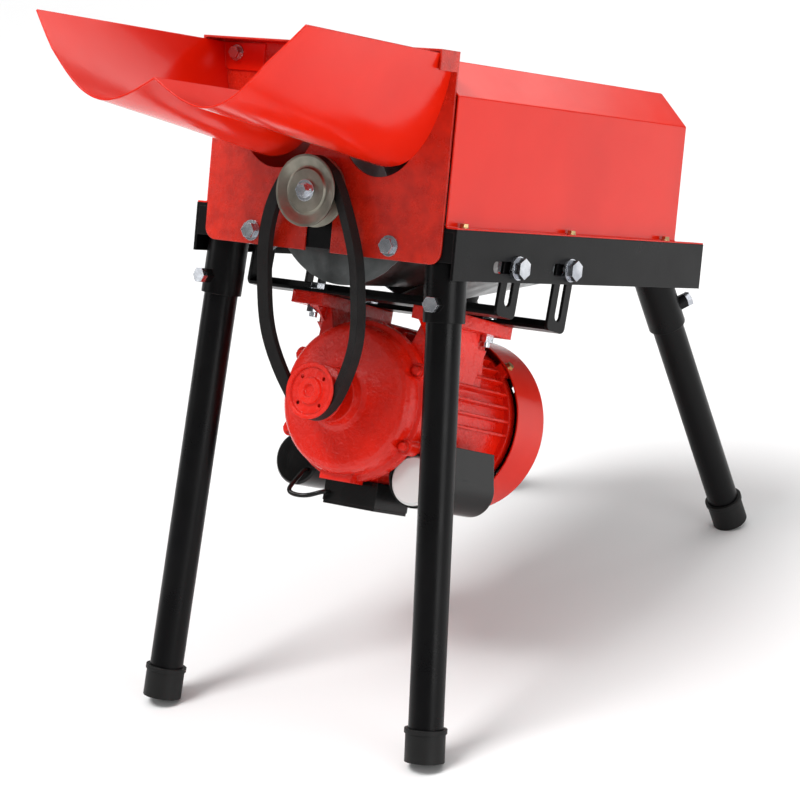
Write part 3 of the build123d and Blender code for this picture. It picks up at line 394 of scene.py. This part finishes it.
@dataclass(frozen=True)
class Metal:
    """Bare or plated metal."""

    name: str
    colour: tuple[float, float, float]
    dark: tuple[float, float, float]
    rough: tuple[float, float] = (0.22, 0.38)
    grain: Grain = Grain.NONE
    grain_scale: float = 900.0
    bump: float = 0.08
    spangle: float = 0.0
    centre: Matrix = field(default_factory=lambda: Matrix.Identity(4))

    def build(self, effects: Effects) -> bpy.types.Material:
        """Build the material."""
        material, t, shader = start_material(self.name)
        edge = use(t, effects.edge, {"Radius": 0.0005, "Amount": 0.6})
        marks = use(t, effects.marks, {"Scale": 70.0, "Low": self.rough[0], "High": self.rough[1]})
        place = t.place()
        if self.grain is Grain.TURNED:
            inverse = self.centre.inverted()
            shift = tuple(inverse.translation)
            turn = tuple(inverse.to_euler())
            mapped = t.add("ShaderNodeMapping", {"Vector": place, "Location": shift, "Rotation": turn})
            parts = t.add("ShaderNodeSeparateXYZ", {0: mapped.outputs[0]})
            flat = t.add("ShaderNodeCombineXYZ", {0: parts.outputs["X"], 1: parts.outputs["Z"]})
            reach = t.add("ShaderNodeVectorMath", {0: flat.outputs[0]}, operation="LENGTH")
            line = t.add("ShaderNodeCombineXYZ", {0: reach.outputs["Value"], 1: parts.outputs["Y"]})
            fine = t.noise(line.outputs[0], self.grain_scale, 3.0)
        elif self.grain is Grain.DRAWN:
            mapped = t.add("ShaderNodeMapping", {"Vector": place, "Scale": (1.0, 0.04, 1.0)})
            fine = t.noise(mapped.outputs[0], self.grain_scale, 3.0)
        else:
            fine = t.noise(place, self.grain_scale, 4.0, Roughness=0.7)
        tone = t.noise(place, 45.0, 4.0)
        colour = t.blend(t.ranged(tone, 0.35, 0.68, 0.0, 1.0), (*self.colour, 1), (*self.dark, 1))
        if self.spangle > 0:
            cells = t.add("ShaderNodeTexVoronoi", {"Vector": place, "Scale": 95.0, "Randomness": 1.0})
            grey = t.add("ShaderNodeRGBToBW", {0: cells.outputs["Color"]})
            colour = t.blend(t.math("MULTIPLY", grey.outputs[0], self.spangle), colour, (*self.dark, 1))
        lit = t.blend(t.math("MULTIPLY", edge.outputs["Mask"], 0.6), colour, RUBBED_METAL)
        bump = t.bump(fine, edge.outputs["Normal"], self.bump, 0.0004)
        links = t.tree.links
        links.new(lit, shader.inputs["Base Color"])
        links.new(marks.outputs[0], shader.inputs["Roughness"])
        links.new(bump, shader.inputs["Normal"])
        shader.inputs["Metallic"].default_value = 1.0
        return material


@dataclass(frozen=True)
class Moulded:
    """Moulded plastic or rubber."""

    name: str
    colour: tuple[float, float, float]
    worn: tuple[float, float, float]
    rough: tuple[float, float] = (0.3, 0.45)
    scale: float = 1200.0
    bump: float = 0.15
    weave: float = 0.0
    specular: float = 0.25

    def build(self, effects: Effects) -> bpy.types.Material:
        """Build the material."""
        material, t, shader = start_material(self.name)
        edge = use(t, effects.edge, {"Radius": 0.0008, "Amount": 0.5, "Breakup": 260.0})
        marks = use(t, effects.marks, {"Scale": 40.0, "Low": self.rough[0], "High": self.rough[1]})
        dust = use(t, effects.dust, {"Amount": 0.04})
        place = t.place()
        height = t.noise(place, self.scale, 3.0)
        if self.weave > 0:
            bands = {"Vector": place, "Scale": self.weave, "Distortion": 0.4}
            warp = t.add("ShaderNodeTexWave", bands, bands_direction="DIAGONAL")
            height = t.math("ADD", height, warp.outputs[1])
        colour = t.blend(edge.outputs["Mask"], (*self.colour, 1), (*self.worn, 1))
        dusty = t.blend(dust.outputs["Mask"], colour, DARK_DUST)
        bump = t.bump(height, edge.outputs["Normal"], self.bump, 0.0005)
        links = t.tree.links
        links.new(dusty, shader.inputs["Base Color"])
        links.new(marks.outputs[0], shader.inputs["Roughness"])
        links.new(bump, shader.inputs["Normal"])
        shader.inputs["Specular IOR Level"].default_value = self.specular
        return material


RED = (0.80, 0.016, 0.003)
RED_SHADE = (0.72, 0.012, 0.002)
SHEET_RED = Paint(
    "red_sheet_enamel", RED, RED_SHADE, rough=(0.17, 0.25), coat=0.08, specular=0.3, bump=0.04
)
# Front plate red: the mottling is the enamel's own. The red is set darker than the sheet red as painted shade
# for the plate's front face, which the light from above reaches less.
PLATE_RED_WITH_PAINTED_SHADE = Paint(
    "red_mottled_enamel_and_painted_shade",
    (0.66, 0.022, 0.007),
    (0.48, 0.014, 0.005),
    rough=(0.22, 0.32),
    coat=0.2,
    tone_scale=70.0,
    fine=500.0,
    coarse=170.0,
    coarse_share=1.0,
    bump=0.16,
)
CAST_RED = Paint(
    "red_casting_enamel",
    (0.84, 0.014, 0.003),
    (0.70, 0.010, 0.002),
    rough=(0.20, 0.32),
    coat=0.1,
    specular=0.35,
    tone_scale=24.0,
    fine=420.0,
    coarse=130.0,
    coarse_share=1.8,
    bump=0.55,
    edge_radius=0.0024,
    wear=0.08,
)
BLACK = Paint(
    "black_satin_enamel",
    (0.0015, 0.0015, 0.0018),
    (0.003, 0.003, 0.0034),
    under=(0.10, 0.095, 0.09),
    rough=(0.26, 0.38),
    coat=0.0,
    specular=0.15,
    bump=0.10,
    wear=0.22,
    dust=0.02,
)
ZINC = Metal("bright_zinc", (0.74, 0.76, 0.80), (0.40, 0.42, 0.46), rough=(0.14, 0.30))
YELLOW_ZINC = Metal("yellow_zinc", (0.62, 0.42, 0.16), (0.36, 0.27, 0.16), rough=(0.25, 0.4))
# Galvanised sheet: the spangle and tone are its own. Its colour is set much darker than bare zinc as painted
# shade for the pan that sits in shadow under the machine.
GALVANISED = Metal(
    "galvanised_sheet", (0.26, 0.27, 0.27), (0.14, 0.15, 0.15), rough=(0.28, 0.44), spangle=0.6
)
PRESSED = Metal(
    "pressed_pulley_steel",
    (0.32, 0.30, 0.25),
    (0.18, 0.17, 0.14),
    rough=(0.30, 0.46),
    grain=Grain.TURNED,
    grain_scale=1800.0,
    bump=0.35,
    centre=DRUM_AXIS,
)
STEEL = Metal("ground_steel", (0.56, 0.56, 0.58), (0.36, 0.36, 0.38), (0.22, 0.36))
CORE_STEEL = Metal(
    "core_steel",
    (0.30, 0.31, 0.34),
    (0.18, 0.18, 0.20),
    rough=(0.4, 0.55),
    grain=Grain.DRAWN,
    grain_scale=1500.0,
    bump=0.3,
)
CAST_IRON = Metal(
    "rough_cast_iron",
    (0.22, 0.22, 0.23),
    (0.12, 0.12, 0.12),
    rough=(0.5, 0.7),
    grain_scale=500.0,
    bump=0.5,
)
FOOT_RUBBER = Moulded("foot_rubber", (0.006, 0.006, 0.006), (0.03, 0.03, 0.03), (0.42, 0.58))
BELT_RUBBER = Moulded(
    "belt_fabric", (0.006, 0.006, 0.006), (0.04, 0.04, 0.04), (0.5, 0.66), scale=1600.0, bump=0.4, weave=700.0
)
BLACK_PLASTIC = Moulded("black_plastic", (0.006, 0.006, 0.006), (0.02, 0.02, 0.02), (0.14, 0.26), 900.0, 0.05)
WHITE_PLASTIC = Moulded("white_plastic", (0.74, 0.74, 0.73), (0.80, 0.80, 0.79), (0.3, 0.42), 900.0, 0.08)
FAN_PLASTIC = Moulded("fan_plastic", (0.015, 0.015, 0.015), (0.04, 0.04, 0.04), (0.4, 0.55))

FINISH_OF = {
    "red_paint": SHEET_RED,
    "black_paint": BLACK,
    "zinc": ZINC,
    "yellow_zinc": YELLOW_ZINC,
    "galvanised": GALVANISED,
    "steel": STEEL,
    "cast_grey": CAST_IRON,
    "red_cast": CAST_RED,
    "core": CORE_STEEL,
    "black_plastic": BLACK_PLASTIC,
    "white_plastic": WHITE_PLASTIC,
    "belt_rubber": BELT_RUBBER,
    "foot_rubber": FOOT_RUBBER,
    "fan_plastic": FAN_PLASTIC,
}


class Wardrobe:
    """Builds each finish once and hands it out."""

    def __init__(self) -> None:
        """Start with the shared effects and no materials."""
        self.effects = Effects()
        self.made: dict[str, bpy.types.Material] = {}

    def material(self, finish: Paint | Metal | Moulded) -> bpy.types.Material:
        """Return a finish's material, building it the first time."""
        if finish.name not in self.made:
            self.made[finish.name] = finish.build(self.effects)
        return self.made[finish.name]

    def dress(self, obj: bpy.types.Object, finish: Paint | Metal | Moulded) -> None:
        """Give an object one finish all over."""
        obj.data.materials.clear()
        obj.data.materials.append(self.material(finish))


# ------------------------------------------------------------------ meshes
def finished(name: str, mesh: bmesh.types.BMesh, place: Matrix, smooth: float = 35.0) -> bpy.types.Object:
    """Turn a bmesh into a linked object whose place is in its mesh.

    Args:
        name: Name of the piece.
        mesh: The bmesh, freed here.
        place: Where it goes.
        smooth: Edges sharper than this many degrees stay sharp.

    Returns:
        The object.
    """
    mesh.transform(place)
    bmesh.ops.recalc_face_normals(mesh, faces=mesh.faces)
    for face in mesh.faces:
        face.smooth = True
    for edge in mesh.edges:
        if len(edge.link_faces) == 2 and edge.calc_face_angle(0.0) > math.radians(smooth):
            edge.smooth = False
    data = bpy.data.meshes.new(name)
    mesh.to_mesh(data)
    mesh.free()
    obj = bpy.data.objects.new(name, data)
    bpy.context.scene.collection.objects.link(obj)
    return obj


@dataclass
class DriveBelt:
    """The slack V-belt between the two pulleys."""

    wardrobe: Wardrobe
    solid: bpy.types.Object
    bend_top: float = 0.49
    bend_low: float = 0.33

    def build(self) -> bpy.types.Object:
        """Copy the belt's solid, clean it, shade it smooth and hide the original solid."""
        mesh = bmesh.new()
        mesh.from_mesh(self.solid.data)
        bmesh.ops.remove_doubles(mesh, verts=mesh.verts, dist=MERGE_GAP)
        belt = finished("belt_loop", mesh, Matrix.Identity(4), 40.0)
        self.wardrobe.dress(belt, BELT_RUBBER)
        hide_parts("drive_belt")
        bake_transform(belt)
        return belt


# ------------------------------------------------------------------ studio
@dataclass
class Studio:
    """Pale floor, soft lights and the camera."""

    azimuth: float = math.radians(36.855)
    elevation: float = math.radians(19.922)
    roll: float = math.radians(-5.448)
    distance: float = 2.5601
    lens: float = 115.03
    aside: float = -0.0756
    height: float = 0.2166
    floor_half: float = 12.0

    def floor(self) -> bpy.types.Object:
        """Lay the floor."""
        mesh = bmesh.new()
        bmesh.ops.create_grid(mesh, x_segments=1, y_segments=1, size=self.floor_half)
        floor = finished("floor", mesh, Matrix.Identity(4))
        material, _, shader = start_material("pale_floor")
        shader.inputs["Base Color"].default_value = (0.80, 0.80, 0.80, 1)
        shader.inputs["Roughness"].default_value = 0.6
        shader.inputs["Specular IOR Level"].default_value = 0.2
        floor.data.materials.append(material)
        return floor

    def lights(self) -> None:
        """Light the surroundings brighter overhead, and hang a soft sun and the soft boxes."""
        world = bpy.data.worlds.new("surroundings")
        world.use_nodes = True
        t = Tree(world.node_tree)
        way = t.add("ShaderNodeTexCoord")
        parts = t.add("ShaderNodeSeparateXYZ", {0: way.outputs["Generated"]})
        sky = t.ranged(parts.outputs["Z"], 0.05, 0.95, 0.04, 0.85)
        t.tree.links.new(sky, world.node_tree.nodes["Background"].inputs["Strength"])
        world.node_tree.nodes["Background"].inputs["Color"].default_value = (1.0, 1.0, 1.0, 1)
        bpy.context.scene.world = world
        sun = bpy.data.lights.new("soft_sun", "SUN")
        sun.energy = 2.4
        sun.angle = math.radians(24.0)
        self.hang(sun, Vector((-0.8, -1.5, 3.3)), Vector((0, 0, 0)))
        for name, spot, size, power in (
            ("over_box", (0.3, -0.4, 2.6), 1.6, 10.0),
            ("left_box", (-2.3, -1.6, 1.2), 0.9, 5.0),
            ("right_box", (2.3, -0.7, 0.7), 1.1, 17.0),
            ("rear_box", (0.4, 2.4, 1.8), 1.6, 10.0),
        ):
            lamp = bpy.data.lights.new(name, "AREA")
            lamp.size = size
            lamp.energy = power
            self.hang(lamp, Vector(spot), Vector((0, 0, 0.4)))
        bpy.context.scene.view_settings.view_transform = "Standard"

    @staticmethod
    def hang(lamp: bpy.types.Light, spot: Vector, aim: Vector) -> None:
        """Place a light.

        Args:
            lamp: The light's settings.
            spot: Where it hangs.
            aim: The point that it faces.
        """
        obj = bpy.data.objects.new(lamp.name, lamp)
        obj.location = spot
        obj.rotation_euler = (aim - spot).to_track_quat("-Z", "Y").to_euler()
        bpy.context.scene.collection.objects.link(obj)

    def camera(self) -> bpy.types.Object:
        """Set up the camera."""
        back = Vector(
            (
                math.sin(self.azimuth) * math.cos(self.elevation),
                -math.cos(self.azimuth) * math.cos(self.elevation),
                math.sin(self.elevation),
            )
        )
        right = (-back).cross(Vector((0, 0, 1))).normalized()
        up = right.cross(-back)
        turned_right = right * math.cos(self.roll) + up * math.sin(self.roll)
        turned_up = up * math.cos(self.roll) - right * math.sin(self.roll)
        spot = right * self.aside + Vector((0, FORE_SHIFT, self.height)) + back * self.distance
        data = bpy.data.cameras.new("camera")
        data.lens = self.lens
        data.sensor_width = 36.0
        data.clip_end = 50.0
        camera = bpy.data.objects.new("camera", data)
        place = Matrix((turned_right, turned_up, back)).transposed().to_4x4()
        place.translation = spot
        camera.matrix_world = place
        bpy.context.scene.collection.objects.link(camera)
        bpy.context.scene.camera = camera
        return camera


def dress_nodes(frame: dict, wardrobe: Wardrobe) -> None:
    """Give every solid of the frame its finish.

    Args:
        wardrobe: Where finishes come from.
    """
    slots = {entry["node"]: entry["material_slot"] for entry in frame["record"]["subparts"]}
    # the front plate takes the mottled red that carries painted shade
    special = {"sheller_pulley": PRESSED, "front_plate": PLATE_RED_WITH_PAINTED_SHADE}
    for name, obj in frame["nodes"].items():
        wardrobe.dress(obj, special.get(name, FINISH_OF[slots[name]]))
        LOG.info("dressed %s", name)


def main() -> None:
    """Build the whole scene."""
    logging.basicConfig(level=logging.INFO)
    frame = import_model()
    studio = Studio()
    studio.camera()
    studio.lights()
    studio.floor()
    wardrobe = Wardrobe()
    dress_nodes(frame, wardrobe)
    for builder in (DriveBelt(wardrobe, frame["nodes"]["drive_belt"]),):
        piece = builder.build()
        LOG.info("built %s", piece.name)


if __name__ == "__main__":
    main()
